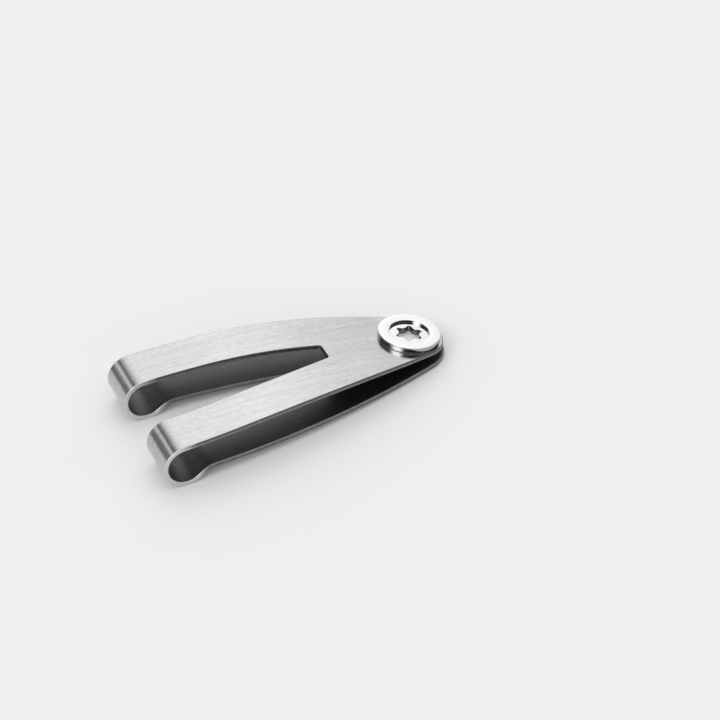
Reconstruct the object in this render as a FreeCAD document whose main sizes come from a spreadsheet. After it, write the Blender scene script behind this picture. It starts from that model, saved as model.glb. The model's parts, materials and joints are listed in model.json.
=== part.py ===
import FreeCAD, Part

import enum
import math
import os
import re

import Sketcher

# A spring money clip.  One strip of spring sheet, cut to a long pointed outline with a
# slot down its middle, is folded over where it is widest, and each of its two prongs
# goes round a small loop there.  The upper jaw is bowed and carries a screwed collar at
# its tip.  The lower jaw comes up a short ramp and runs flat under it.
#
# X runs from the loops to the tip, Y across the prongs and Z up from the surface that
# the clip lies on.  The side views have the loops' axis at X = 0, and every sub-part's
# Placement then brings the middle of the whole length to the origin.

# Driving sizes, in millimetres and degrees.
SIZES = {
    # spring sheet and its loops
    "sheet_thickness": 0.75,
    "loop_radius": 3.65,
    # plan of the strip, the same for both jaws
    "full_width": 25.8,
    "prong_width": 7.8,
    "widest_setback": 2.1,
    "collar_axis": 42.9,
    "tip_margin": 0.45,
    "slot_end": 28.45,
    "slot_corner": 0.45,
    # side view of the upper jaw
    "upper_straight": 10.6,
    "tip_flat": 5.2,
    "seat_level": 3.69,
    # side view of the lower jaw
    "ramp_angle": 31.0,
    "ramp_bend": 3.0,
    "lower_angle": 2.2,
    # polished collar, a flanged cup set through the upper jaw
    "collar_radius": 5.05,
    "collar_height": 1.0,
    "collar_bore": 3.23,
    "collar_round": 0.12,
    "cup_radius": 3.85,
    "cup_depth": 1.1,
    "cup_floor": 0.25,
    # domed screw with a six-lobe socket
    "head_drop": 0.45,
    "head_rise": 0.12,
    "shank_radius": 2.0,
    "socket_radius": 2.25,
    "socket_waist": 1.625,
    "socket_lobe": 0.4,
    "socket_depth": 1.15,
    "socket_turn": 4.4,
    # domed foot that the screw draws up against the upper jaw
    "foot_radius": 4.6,
    "foot_dome": 9.0,
    "foot_skin": 0.4,
    # clearances
    "slide_gap": 0.05,
    "head_gap": 0.03,
    "thread_gap": 0.02,
    "tip_gap": 0.1,
}

# Sizes that follow from the driving ones.
FOLLOWING = {
    # the whole clip
    "half_width": "full_width / 2",
    "slot_half": "half_width - prong_width",
    "loop_bore": "loop_radius - sheet_thickness",
    "tip_radius": "collar_radius + tip_margin",
    "tip_end": "collar_axis + tip_radius",
    "middle": "(tip_end - loop_radius) / 2",
    "beyond": "2 * loop_radius",
    "tail": "tip_end + beyond",
    # plan: the sides are large arcs that end tangent to the tip's own arc
    "side_run": "collar_axis + widest_setback",
    "side_radius": "(side_run^2 + half_width^2 - tip_radius^2) / (2 * (half_width - tip_radius))",
    "side_centre": "side_radius - half_width",
    "tangent_share": "side_radius / (side_radius - tip_radius)",
    "tangent_x": "side_run * tangent_share - widest_setback",
    "tangent_y": "side_centre * (tangent_share - 1)",
    # plan: the slot's edges run parallel to the sides, and its end corners are rounded
    "slot_radius": "side_radius - prong_width",
    "corner_reach": "slot_radius - slot_corner",
    "corner_run": "slot_end - slot_corner + widest_setback",
    "corner_rise": "sqrt(corner_reach^2 - corner_run^2)",
    "corner_x": "corner_run * slot_radius / corner_reach - widest_setback",
    "corner_y": "corner_rise * slot_radius / corner_reach - side_centre",
    "slot_end_half": "corner_rise - side_centre",
    # side view of the upper jaw: straight, then an arch down to a flat for the collar
    "top_level": "2 * loop_radius",
    "tip_angle": "2 * atan((top_level - seat_level) / (collar_axis - upper_straight + tip_flat))",
    "arch_end": "collar_axis - tip_flat * cos(tip_angle)",
    "arch_radius": "(arch_end - upper_straight) / sin(tip_angle)",
    "arch_level": "top_level - arch_radius * (1 - cos(tip_angle))",
    "upper_tail_level": "arch_level - (tail - arch_end) * tan(tip_angle)",
    "tip_back": "sheet_thickness * sin(tip_angle)",
    "tip_down": "sheet_thickness * cos(tip_angle)",
    # side view of the lower jaw: a ramp, a bend and a flat that ends on the ground
    "ramp_x": "loop_radius * sin(ramp_angle)",
    "ramp_level": "loop_radius * (1 - cos(ramp_angle))",
    "bend_run": "ramp_bend * (sin(ramp_angle) + sin(lower_angle))",
    "bend_lift": "ramp_bend * (cos(lower_angle) - cos(ramp_angle))",
    "ramp_climb": "(tip_end - ramp_x - bend_run) * tan(lower_angle) - ramp_level - bend_lift",
    "ramp_length": "ramp_climb / (sin(ramp_angle) + cos(ramp_angle) * tan(lower_angle))",
    "bend_x": "ramp_x + ramp_length * cos(ramp_angle)",
    "bend_level": "ramp_level + ramp_length * sin(ramp_angle)",
    "flat_x": "bend_x + bend_run",
    "flat_level": "bend_level + bend_lift",
    "lower_tail_level": "-beyond * tan(lower_angle)",
    "bend_outside": "ramp_bend + sheet_thickness",
    "ramp_back": "sheet_thickness * sin(ramp_angle)",
    "ramp_up": "sheet_thickness * cos(ramp_angle)",
    "flat_ahead": "sheet_thickness * sin(lower_angle)",
    "flat_up": "sheet_thickness * cos(lower_angle)",
    # collar and screw, measured along the screw from the upper jaw's top face
    "jaw_hole": "cup_radius + slide_gap",
    "shank_hole": "shank_radius + slide_gap",
    "head_under": "cup_floor - cup_depth",
    "head_radius": "collar_bore - head_gap",
    "head_edge": "collar_height - head_drop",
    "head_top": "head_edge + head_rise",
    "head_dome": "(head_radius^2 + head_rise^2) / (2 * head_rise)",
    # socket: six round lobes with a hollow flank between each two
    "lobe_reach": "socket_radius - socket_lobe",
    "flank_room": "lobe_reach^2 + socket_waist^2 - socket_lobe^2 - 2 * lobe_reach * socket_waist * cos(30)",
    "flank_radius": "flank_room / (2 * (socket_lobe + lobe_reach * cos(30) - socket_waist))",
    "flank_reach": "socket_waist + flank_radius",
    "lobe_share": "socket_lobe / (socket_lobe + flank_radius)",
    # foot: its dome stops one clearance short of the lower jaw, which it meets at a slant
    "foot_top": "-sheet_thickness",
    "jaw_room": "seat_level * cos(lower_angle) - tip_radius * sin(lower_angle) - sheet_thickness",
    "foot_slant": "cos(tip_angle - lower_angle)",
    "foot_tip": "(foot_dome + tip_gap - jaw_room) / foot_slant - foot_dome",
    "foot_edge": "foot_tip + foot_dome - sqrt(foot_dome^2 - foot_radius^2)",
    "pocket_floor": "-cup_depth - slide_gap",
    "thread_radius": "shank_radius + thread_gap",
    "thread_end": "foot_tip + foot_skin",
    "shank_end": "thread_end + slide_gap",
}

LEFT, RIGHT = "left", "right"
LOBES = 6
LOBE_STEP = 360 / LOBES


class Code(enum.IntEnum):
    """The numbers by which a sketch knows the ends of an edge, its own point and its axes."""

    START = 1
    END = 2
    LEVEL_AXIS = -1
    UP_AXIS = -2


document = FreeCAD.newDocument("money_clip")

sheet = document.addObject("Spreadsheet::Sheet", "Sizes")
for row, (alias, number) in enumerate(SIZES.items(), start=1):
    sheet.set(f"A{row}", alias)
    sheet.set(f"B{row}", str(number))
    sheet.setAlias(f"B{row}", alias)

following = document.addObject("App::VarSet", "Following")


def spelt(formula, owner="Following."):
    """Name the object that holds each size in a formula, as an expression needs."""

    def spell(match):
        word = match.group(0)
        if word in SIZES:
            return f"Sizes.{word}"
        return f"{owner}{word}" if word in FOLLOWING else word

    return re.sub(r"[a-z]\w*", spell, formula)


for alias in [*FOLLOWING, "trial"]:
    following.addProperty("App::PropertyFloat", alias)
for alias, formula in FOLLOWING.items():
    following.setExpression(alias, spelt(formula, owner=""))
document.recompute()


def bind(item, slot, formula):
    """Tie one property of an object to a formula of the sizes."""
    item.setExpression(slot, spelt(formula))


def plane(body, role):
    """The origin plane of a body that has the given role."""
    return next(item for item in body.Origin.OriginFeatures if item.Role == role)


def measure(formula):
    """The plain number that a formula of the sizes comes to."""
    following.setExpression("trial", spelt(formula, owner=""))
    following.recompute()
    return following.trial


def arc_through(start, end, radius, turn):
    """The short arc that leaves start, turns left or right and arrives at end."""
    chord = end - start
    across = FreeCAD.Vector(-chord.y, chord.x, 0).normalize()
    reach = math.sqrt(radius**2 - (chord.Length / 2) ** 2)
    centre = (start + end) / 2 + across * (reach if turn == LEFT else -reach)
    first, last = (start, end) if turn == LEFT else (end, start)
    angles = [math.atan2(point.y - centre.y, point.x - centre.x) for point in (first, last)]
    return Part.ArcOfCircle(Part.Circle(centre, FreeCAD.Vector(0, 0, 1), radius), *angles)


def outline(body, name, role, corners):
    """A closed sketch through the given corners.

    A corner is (x, y), followed by the turn and the radius of the edge that leaves it if
    that edge is an arc.  Its two places and the radius are tied to their formulas.
    """
    sketch = body.newObject("Sketcher::SketchObject", name)
    sketch.AttachmentSupport = [(plane(body, role), "")]
    sketch.MapMode = "FlatFace"
    points = [FreeCAD.Vector(measure(x), measure(y), 0) for x, y, *bend in corners]
    ends = []
    for index, (x, y, *bend) in enumerate(corners):
        start, end = points[index], points[(index + 1) % len(points)]
        if bend:
            turn, radius = bend
            sketch.addGeometry(arc_through(start, end, measure(radius), turn))
            tie(sketch, f"radius_{index}", radius, "Radius", index)
        else:
            turn = LEFT
            sketch.addGeometry(Part.LineSegment(start, end))
        ends.append((Code.START, Code.END) if turn == LEFT else (Code.END, Code.START))
    for index, (x, y, *bend) in enumerate(corners):
        after = (index + 1) % len(corners)
        leaving, arriving = ends[after][0], ends[index][1]
        sketch.addConstraint(Sketcher.Constraint("Coincident", index, arriving, after, leaving))
        start = ends[index][0]
        for axis, kind, place in ((Code.UP_AXIS, "DistanceX", x), (Code.LEVEL_AXIS, "DistanceY", y)):
            if place == "0":
                sketch.addConstraint(Sketcher.Constraint("PointOnObject", index, start, axis))
            else:
                origin = (Code.LEVEL_AXIS, Code.START)
                tie(sketch, f"{kind}_{index}", place, kind, *origin, index, start)
    return sketch


def tie(sketch, name, formula, *terms):
    """Add a named dimension to a sketch and tie it to a formula."""
    constraint = sketch.addConstraint(Sketcher.Constraint(*terms, measure(formula)))
    sketch.renameConstraint(constraint, name)
    bind(sketch, f"Constraints.{name}", formula)


def extrude(body, kind, sketch, length, **settings):
    """Pad or pocket a sketch by a length."""
    feature = body.newObject(f"PartDesign::{kind}", f"{sketch.Name}_{kind}")
    feature.Profile = sketch
    bind(feature, "Length", length)
    for name, value in settings.items():
        setattr(feature, name, value)
    return feature


def turned(name, corners):
    """A body turned about Z from its half section."""
    body = document.addObject("PartDesign::Body", name)
    section = outline(body, f"{name}_section", "XZ_Plane", corners)
    feature = body.newObject("PartDesign::Revolution", f"{name}_turned")
    feature.Profile = section
    feature.ReferenceAxis = (section, ["V_Axis"])
    return body


def strip_plan(name):
    """Everything inside the plan outline of the folded strip, its slot left out."""
    body = document.addObject("PartDesign::Body", name)
    rim = outline(
        body,
        f"{name}_rim",
        "XY_Plane",
        [
            ("-beyond", "-half_width"),
            ("-widest_setback", "-half_width", LEFT, "side_radius"),
            ("tangent_x", "-tangent_y", LEFT, "tip_radius"),
            ("tip_end", "0", LEFT, "tip_radius"),
            ("tangent_x", "tangent_y", LEFT, "side_radius"),
            ("-widest_setback", "half_width"),
            ("-beyond", "half_width"),
        ],
    )
    extrude(body, "Pad", rim, "4 * beyond", SideType="Symmetric")
    slot = outline(
        body,
        f"{name}_slot",
        "XY_Plane",
        [
            ("-2 * beyond", "-slot_half"),
            ("-widest_setback", "-slot_half", LEFT, "slot_radius"),
            ("corner_x", "-corner_y", LEFT, "slot_corner"),
            ("slot_end", "-slot_end_half"),
            ("slot_end", "slot_end_half", LEFT, "slot_corner"),
            ("corner_x", "corner_y", LEFT, "slot_radius"),
            ("-widest_setback", "slot_half"),
            ("-2 * beyond", "slot_half"),
        ],
    )
    extrude(body, "Pocket", slot, "4 * beyond", SideType="Symmetric")
    return body


def strip_side(name, corners, reach="Symmetric", **settings):
    """A side view of part of the strip, padded wider than the strip."""
    body = document.addObject("PartDesign::Body", f"{name}_side")
    side = outline(body, f"{name}_profile", "XZ_Plane", corners)
    extrude(body, "Pad", side, "2 * full_width", SideType=reach, **settings)
    return body


def common(name, first, second):
    """What two bodies share."""
    shared = document.addObject("Part::Common", name)
    shared.Base = first
    shared.Tool = second
    return shared


# Side views, each a closed outline in X and Z from the loops' axis and the ground.
UPPER_SIDE = [
    ("0", "top_level"),
    ("0", "top_level - sheet_thickness"),
    ("upper_straight", "top_level - sheet_thickness", RIGHT, "arch_radius - sheet_thickness"),
    ("arch_end - tip_back", "arch_level - tip_down"),
    ("tail - tip_back", "upper_tail_level - tip_down"),
    ("tail", "upper_tail_level"),
    ("arch_end", "arch_level", LEFT, "arch_radius"),
    ("upper_straight", "top_level"),
]

LOWER_SIDE = [
    ("ramp_x", "ramp_level"),
    ("bend_x", "bend_level", RIGHT, "ramp_bend"),
    ("flat_x", "flat_level"),
    ("tail", "lower_tail_level"),
    ("tail + flat_ahead", "lower_tail_level + flat_up"),
    ("flat_x + flat_ahead", "flat_level + flat_up", LEFT, "bend_outside"),
    ("bend_x - ramp_back", "bend_level + ramp_up"),
    ("ramp_x - ramp_back", "ramp_level + ramp_up"),
]

LOOP_SIDE = [
    ("0", "top_level", LEFT, "loop_radius"),
    ("-loop_radius", "loop_radius", LEFT, "loop_radius"),
    ("ramp_x", "ramp_level"),
    ("ramp_x - ramp_back", "ramp_level + ramp_up", RIGHT, "loop_bore"),
    ("-loop_bore", "loop_radius", RIGHT, "loop_bore"),
    ("0", "top_level - sheet_thickness"),
]


def tilt(item):
    """Turn an object about Y as far as the upper jaw's tip slopes down."""
    item.Placement.Rotation = FreeCAD.Rotation(FreeCAD.Vector(0, 1, 0), measure("tip_angle"))
    bind(item, "Placement.Rotation.Angle", "tip_angle")


def stand_at_screw(item):
    """Stand a sub-part drawn upright about Z on the seat, square to the upper jaw's tip."""
    bind(item, "Placement.Base.x", "collar_axis - middle")
    bind(item, "Placement.Base.z", "seat_level")
    tilt(item)


def bring_to_middle(item):
    """Move a sub-part drawn from the loops' axis so that the whole clip is centred."""
    bind(item, "Placement.Base.x", "-middle")


def make_upper_jaw():
    """The bowed upper jaw, with a round hole at its tip for the collar's cup."""
    blank = common("upper_blank", strip_plan("upper_plan"), strip_side("upper", UPPER_SIDE))
    drill = document.addObject("Part::Cylinder", "jaw_drill")
    bind(drill, "Radius", "jaw_hole")
    bind(drill, "Height", "2 * beyond")
    bind(drill, "Placement.Base.x", "collar_axis - beyond * sin(tip_angle)")
    bind(drill, "Placement.Base.z", "seat_level - beyond * cos(tip_angle)")
    tilt(drill)
    jaw = document.addObject("Part::Cut", "upper_jaw")
    jaw.Base = blank
    jaw.Tool = drill
    return jaw


def make_lower_jaw():
    """The lower jaw: ramp, bend and flat."""
    return common("lower_jaw", strip_plan("lower_plan"), strip_side("lower", LOWER_SIDE))


def make_loop(name, on_left):
    """One spring loop, from the top of the clip round to the foot of the ramp."""
    side = strip_side(name, LOOP_SIDE, reach="One side", Reversed=on_left)
    return common(name, strip_plan(f"{name}_plan"), side)


def make_collar():
    """The polished collar: a flange, and a cup that holds the screw's head."""
    return turned(
        "polished_collar",
        [
            ("shank_hole", "-cup_depth"),
            ("cup_radius", "-cup_depth"),
            ("cup_radius", "0"),
            ("collar_radius", "0"),
            ("collar_radius", "collar_height - collar_round", LEFT, "collar_round"),
            ("collar_radius - collar_round", "collar_height"),
            ("collar_bore", "collar_height"),
            ("collar_bore", "head_under"),
            ("shank_hole", "head_under"),
        ],
    )


def socket_corners():
    """The six-lobe socket's outline, from lobe to hollow flank and so on round."""
    corners = []
    for lobe in range(LOBES):
        along = f"({lobe} * {LOBE_STEP} + socket_turn)"
        for before, side, edge in ((-1, LEFT, "socket_lobe"), (1, RIGHT, "flank_radius")):
            flank = f"({lobe} * {LOBE_STEP} + {before} * {LOBE_STEP / 2} + socket_turn)"
            places = [
                f"lobe_reach * {wave}{along} * (1 - lobe_share) + flank_reach * {wave}{flank} * lobe_share"
                for wave in ("cos", "sin")
            ]
            corners.append((*places, side, edge))
    return corners


def make_screw():
    """The screw: a domed head with its socket, and a shank that ends inside the foot."""
    body = turned(
        "socket_screw",
        [
            ("0", "shank_end"),
            ("shank_radius", "shank_end"),
            ("shank_radius", "head_under"),
            ("head_radius", "head_under"),
            ("head_radius", "head_edge", LEFT, "head_dome"),
            ("0", "head_top"),
        ],
    )
    socket = outline(body, "socket_outline", "XY_Plane", socket_corners())
    bind(socket, "AttachmentOffset.Base.z", "head_top")
    extrude(body, "Pocket", socket, "socket_depth")
    return body


def make_foot():
    """The pressure foot: domed below, with a pocket for the cup and a blind thread."""
    return turned(
        "pressure_foot",
        [
            ("0", "foot_tip", LEFT, "foot_dome"),
            ("foot_radius", "foot_edge"),
            ("foot_radius", "foot_top"),
            ("jaw_hole", "foot_top"),
            ("jaw_hole", "pocket_floor"),
            ("thread_radius", "pocket_floor"),
            ("thread_radius", "thread_end"),
            ("0", "thread_end"),
        ],
    )


strips = [
    make_upper_jaw(),
    make_lower_jaw(),
    make_loop("left_spring_loop", on_left=True),
    make_loop("right_spring_loop", on_left=False),
]
tip_pieces = [make_collar(), make_screw(), make_foot()]
for piece in strips:
    bring_to_middle(piece)
for piece in tip_pieces:
    stand_at_screw(piece)
following.setExpression("trial", None)
following.removeProperty("trial")
document.recompute()

for item in document.Objects:
    if {"Invalid", "Error"} & set(item.State):
        raise RuntimeError(f"{item.Label} did not recompute: {item.State}")

os.makedirs("parts", exist_ok=True)
for piece in strips + tip_pieces:
    if piece.Shape.isNull() or not piece.Shape.isValid() or len(piece.Shape.Solids) != 1:
        raise RuntimeError(f"{piece.Label} is not one sound solid")
    piece.Shape.exportStep(f"parts/{piece.Label}.step")
    print(f"{piece.Label}: {piece.Shape.Volume:.2f} cubic millimetres")
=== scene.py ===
# %% [markdown]
# # A spring money clip
#
# The clip is one strip of brushed spring steel, folded over so that each of its two prongs
# goes round a small loop. A polished collar with a sunk screw sits at the tip. The packed
# model is loaded first: every new piece is drawn around it, in metres, in the same place.

# %% Load the frame
import json
import math

import bpy
import numpy as np
from mathutils import Matrix, Vector


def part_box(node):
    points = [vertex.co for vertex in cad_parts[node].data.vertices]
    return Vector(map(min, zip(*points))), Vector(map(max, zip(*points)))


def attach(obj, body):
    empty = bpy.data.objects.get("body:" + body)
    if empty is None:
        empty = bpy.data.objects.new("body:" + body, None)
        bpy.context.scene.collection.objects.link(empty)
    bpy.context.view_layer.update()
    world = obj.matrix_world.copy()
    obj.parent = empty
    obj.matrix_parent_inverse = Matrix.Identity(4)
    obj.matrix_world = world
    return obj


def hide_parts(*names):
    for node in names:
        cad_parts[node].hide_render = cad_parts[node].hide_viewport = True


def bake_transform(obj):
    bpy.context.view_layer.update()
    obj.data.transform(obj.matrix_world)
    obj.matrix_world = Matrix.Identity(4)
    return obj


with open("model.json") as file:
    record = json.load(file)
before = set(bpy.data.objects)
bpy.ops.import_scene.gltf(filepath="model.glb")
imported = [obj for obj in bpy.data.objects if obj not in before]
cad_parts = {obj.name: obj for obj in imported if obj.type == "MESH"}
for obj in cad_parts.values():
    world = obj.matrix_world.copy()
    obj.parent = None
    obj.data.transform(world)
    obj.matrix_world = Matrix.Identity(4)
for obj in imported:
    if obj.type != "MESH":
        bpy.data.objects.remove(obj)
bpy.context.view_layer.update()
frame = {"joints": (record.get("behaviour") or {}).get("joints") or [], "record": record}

MM = 0.001  # the frame is in metres


# %% [markdown]
# ## Sizes
#
# The solids give the places: the hinge is the loops' axis, the boxes say how far the strip
# reaches, and the collar's face says how much the tip slopes. What they can't say, such as
# the sheet's thickness, is a named size here. All could be typed in again, but a size that
# is read from the solids can't drift away from them.

# %% Sizes of the strip
LEFT_LOOP, UPPER_JAW, LOWER_JAW = "left_spring_loop", "upper_jaw", "lower_jaw"

hinge = Vector(frame["joints"][0]["pos_m"])
mounts = {mount["name"]: mount for mount in frame["record"]["mounts"]}
_, loop_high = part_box(LEFT_LOOP)
_, upper_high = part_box(UPPER_JAW)

SHEET = 0.75 * MM  # thickness of the spring sheet
EDGE_ROUND = 0.16 * MM  # round of the sheet's tumbled edges
PRONG = 7.8 * MM  # width of each prong
SETBACK = 2.1 * MM  # the strip is widest this far behind the loops' axis
SLOT_END = 28.45 * MM  # all distances along the clip start from the loops' axis
SLOT_CORNER = 0.45 * MM  # round in each corner of the slot's end
STRAIGHT = 10.6 * MM  # the upper jaw is level this far, then it arches
FLAT = 5.2 * MM  # and ends in a flat that carries the collar
SCREW = 42.9 * MM  # place of the screw
JAW_HOLE = 3.9 * MM  # radius of the hole that the collar's cup goes through
RAMP = math.radians(31)  # the lower jaw comes off the loop at this slope
RAMP_BEND = 3.0 * MM  # and this is the radius of the bend that levels it out

loop_radius = hinge.z
half_width = loop_high.y
reach = upper_high.x - hinge.x
tip_radius = reach - SCREW
tip_normal = Vector(mounts["collar_face"]["axis"])
tip_slope = math.atan2(tip_normal.x, tip_normal.z)
flat_normal = Vector(mounts["flat_jaw_face"]["axis"])
lower_slope = math.atan2(-flat_normal.x, -flat_normal.z)
print(f"loops {2 * loop_radius / MM:.2f} mm across, strip {2 * half_width / MM:.2f} mm wide")
print(f"tip slope {math.degrees(tip_slope):.2f}, lower jaw {math.degrees(lower_slope):.2f} degrees")

# %% [markdown]
# ## The plan of the strip
#
# Seen from above, each side of the strip is one large arc that runs on smoothly into the
# round tip, and the slot's edges are arcs about the same two centres. The real blank is
# punched to this outline while it is flat. A curve drawn by hand would do, but two circles
# that touch need only three sizes and meet without a kink.

# %% Radii and centres in the plan
# The tip's circle touches the side's from inside: their centres are as far apart as their
# radii differ.
touching = (SCREW + SETBACK) ** 2 + half_width**2 - tip_radius**2
side_radius = touching / (2 * (half_width - tip_radius))
side_centre = half_width - side_radius
slot_radius = side_radius - PRONG
corner_reach = slot_radius - SLOT_CORNER
corner_x = SLOT_END - SLOT_CORNER
corner_y = math.sqrt(corner_reach**2 - (corner_x + SETBACK) ** 2) + side_centre


def side_y(x, radius):
    """Half width at x: the root of radius squared less run squared, above the side's centre.

    The run starts where the strip is widest, and behind that place the side is straight.
    """
    run = np.maximum(x + SETBACK, 0)
    return np.sqrt(radius**2 - run**2) + side_centre


print(f"side radius {side_radius / MM:.1f} mm, slot corner {corner_y / MM:.2f} mm from the middle")

# %% [markdown]
# ## The strip as a grid
#
# The real strip is one piece of sheet, so here it is one surface and not four. Half of it is
# drawn: a row of stations runs from the upper tip, back along the prong, round the loop and
# out along the lower jaw. At every station a ring of points goes once round the section. A
# sheet with a Solidify modifier would also do, but this keeps the length along the strip as
# a coordinate for the brushing.

# %% The inner side of the half strip: slot, corner, end wall, middle line and screw hole
SLOT_STEPS, CORNER_STEPS, WALL_STEPS, MIDDLE_STEPS, HOLE_STEPS = 72, 8, 8, 16, 56
LOWER_LINE_END = 1.2 * MM  # the lower jaw's middle line stops this far from the tip's end
side_point = np.array([-SETBACK, side_centre])


def turn_at(x, radius):
    """Direction of an arc's point at x from the side's centre: the arccosine of run over radius."""
    return math.acos((x + SETBACK) / radius)


def ray(angles):
    """Unit directions (cosine, sine) of the given angles."""
    return np.stack([np.cos(angles), np.sin(angles)], axis=1)


def inner_side(start_x, with_hole):
    """Points, directions into the material and whether it is a real edge, from start_x to the tip.

    The slot side is an arc about the side's centre, its corner a small arc, its end a straight
    wall, and from there the half strip is cut along the middle, round the hole if it has one.
    """
    corner_turn = turn_at(corner_x, corner_reach)
    slot_turns = np.linspace(turn_at(start_x, slot_radius), corner_turn, SLOT_STEPS, endpoint=False)
    corner_turns = np.linspace(corner_turn, 0, CORNER_STEPS, endpoint=False)
    wall_y = np.linspace(corner_y, 0, WALL_STEPS)
    hole_radius = np.array([JAW_HOLE * math.cos(tip_slope), JAW_HOLE])
    line_end = SCREW - hole_radius[0] if with_hole else reach - LOWER_LINE_END
    steps = MIDDLE_STEPS if with_hole else MIDDLE_STEPS + HOLE_STEPS
    line_x = np.linspace(SLOT_END, line_end, steps + 2)[1:-1]
    points = [
        side_point + slot_radius * ray(slot_turns),
        np.array([corner_x, corner_y]) + SLOT_CORNER * ray(corner_turns),
        np.stack([np.full(WALL_STEPS, SLOT_END), wall_y], axis=1),
        np.stack([line_x, 0 * line_x], axis=1),
    ]
    ways = [ray(slot_turns), ray(corner_turns), ray(0 * wall_y), ray(0 * line_x + math.pi / 2)]
    real = [np.ones(SLOT_STEPS + CORNER_STEPS + WALL_STEPS), np.zeros(steps)]
    if with_hole:
        hole_turns = np.linspace(math.pi, 0, HOLE_STEPS)
        points.append(np.array([SCREW, 0]) + hole_radius * ray(hole_turns))
        ways.append(ray(hole_turns))
        real.append(np.ones(HOLE_STEPS))
    return np.concatenate(points), np.concatenate(ways), np.concatenate(real) > 0


# %% [markdown]
# The outer side needs a point for each point of the inner side. Evenly spread points would
# make the grid lean over near the slot's corners. So the outer side is cut into stretches,
# and each has as many steps as the inner side has beside it.

# %% The outer side, matched to the inner one
CORNER_SPAN, WALL_SPAN = 0.5 * MM, 2.6 * MM  # how far the outer side runs beside corner and wall
HOLE_SPAN = 5.2 * MM  # the hole's share starts this far before the tip's arc
meet_turn = math.atan2(-side_centre, SCREW + SETBACK)


def outer_side(start_x, knots, count):
    """Points and directions into the material along the side's arc and then the tip's arc.

    Each is centre plus radius times (cosine, sine) of the turn, which falls evenly with length.
    """
    start_turn = turn_at(start_x, side_radius)
    side_length = side_radius * (start_turn - meet_turn)
    whole = side_length + tip_radius * meet_turn
    prong = side_radius * (start_turn - turn_at(corner_x, slot_radius))
    marks = [0, prong, prong + CORNER_SPAN, prong + CORNER_SPAN + WALL_SPAN]
    if len(knots) > len(marks) + 1:
        marks.append(side_length - HOLE_SPAN)
    lengths = np.interp(np.arange(count), knots, [*marks, whole])
    on_side = lengths < side_length
    past = np.maximum(lengths - side_length, 0)
    turns = np.where(on_side, start_turn - lengths / side_radius, meet_turn - past / tip_radius)
    centres = np.where(on_side[:, None], side_point, [SCREW, 0])
    radii = np.where(on_side[:, None], side_radius, tip_radius)
    return centres + radii * ray(turns), -ray(turns)


# %% [markdown]
# ## Section rings
#
# A ring is the same at every station: across the outer face, round the outer edge, back
# across the inner face and round the slot's edge. A Bevel modifier could round the edges,
# but the strip's map would be squeezed there. Here each point is an inset from the edge and
# a depth below the outer face, and on a rounded edge the two are a quarter circle, radius
# times (1 - sine) and radius times (1 - cosine). A narrow extra column beside each edge
# keeps the shading of the flat faces flat.

# %% The ring of points round a section
ROUND_STEPS = 5  # steps round a rounded edge
FACE_STEPS = 12  # steps across a face
SUPPORT = 0.05 * MM  # width of the extra column

quarter = np.linspace(0, math.pi / 2, ROUND_STEPS + 1)
edge_inset = EDGE_ROUND * (1 - np.sin(quarter))
edge_depth = EDGE_ROUND * (1 - np.cos(quarter))
wall_depth = EDGE_ROUND + SUPPORT
rim_inset = np.concatenate([edge_inset, [0, 0], edge_inset[::-1]])
rim_depth = np.concatenate([edge_depth, [wall_depth, SHEET - wall_depth], SHEET - edge_depth[::-1]])
face_shares = np.linspace(0, 1, FACE_STEPS + 1)
ring_depth = np.concatenate([0 * face_shares, rim_depth, 0 * face_shares + SHEET, rim_depth[::-1]])


def rings(inner, inner_way, real, outer, outer_way):
    """Plan places (stations, ring, 2) of the closed section at every station.

    Where a real edge meets the middle line, its extra column leans off that line.
    """
    room = np.where(real, EDGE_ROUND, 0)[:, None]
    lean = inner_way.copy()
    meets = np.flatnonzero(real[1:] != real[:-1]) + real[1:][real[1:] != real[:-1]]
    lean[meets] = (inner_way[meets] + [0, 1]) / math.sqrt(2)
    near = inner + inner_way * room + lean * SUPPORT
    far = outer + outer_way * (EDGE_ROUND + SUPPORT)
    face = near[:, None] + (far - near)[:, None] * face_shares[None, :, None]
    outer_rim = outer[:, None] + outer_way[:, None] * rim_inset[None, :, None]
    share = np.where(real, 1, 0)[:, None, None]
    inner_rim = inner[:, None] + inner_way[:, None] * rim_inset[None, ::-1, None] * share
    return np.concatenate([face, outer_rim, face[:, ::-1], inner_rim], axis=1)


# %% [markdown]
# The faces are brushed, the edges are painted with light and shade, and the inside of the clip
# is painted dark, as painted shade. A material could guess which is which from the normal, but
# round the loops that points everywhere. So each ring point carries three numbers: on an edge
# or not, on the inner face or not, and how deep it lies in the sheet.

# %% What each ring point tells the finish
INNER_FACE = 0.999  # a depth past this share of the sheet is the inner face

ring_size = len(ring_depth)
rim_mark = np.zeros(ring_size)
rim_mark[FACE_STEPS + 2 : FACE_STEPS + len(rim_inset)] = 1
rim_mark[-len(rim_inset) + 1 : -1] = 1
depth_mark = ring_depth / SHEET
inner_mark = np.where(depth_mark > INNER_FACE, 1.0, 0.0)
inner_columns = np.arange(2 * (FACE_STEPS + 1) + len(rim_inset), ring_size - 1)
print(f"{ring_size} points round each section")

# %% [markdown]
# ## Folding the plan
#
# The side view says where a plan place ends up. The upper jaw is level, then an arc, then a
# slope. The lower jaw's underside is a ramp, a bend and a slope down to the ground. Each
# function gives height, slope and length along the sheet at x, and a point sinks below its
# face along the sheet's normal. A Curve modifier could bend a flat sheet, but here every
# bend has its exact radius.

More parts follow.
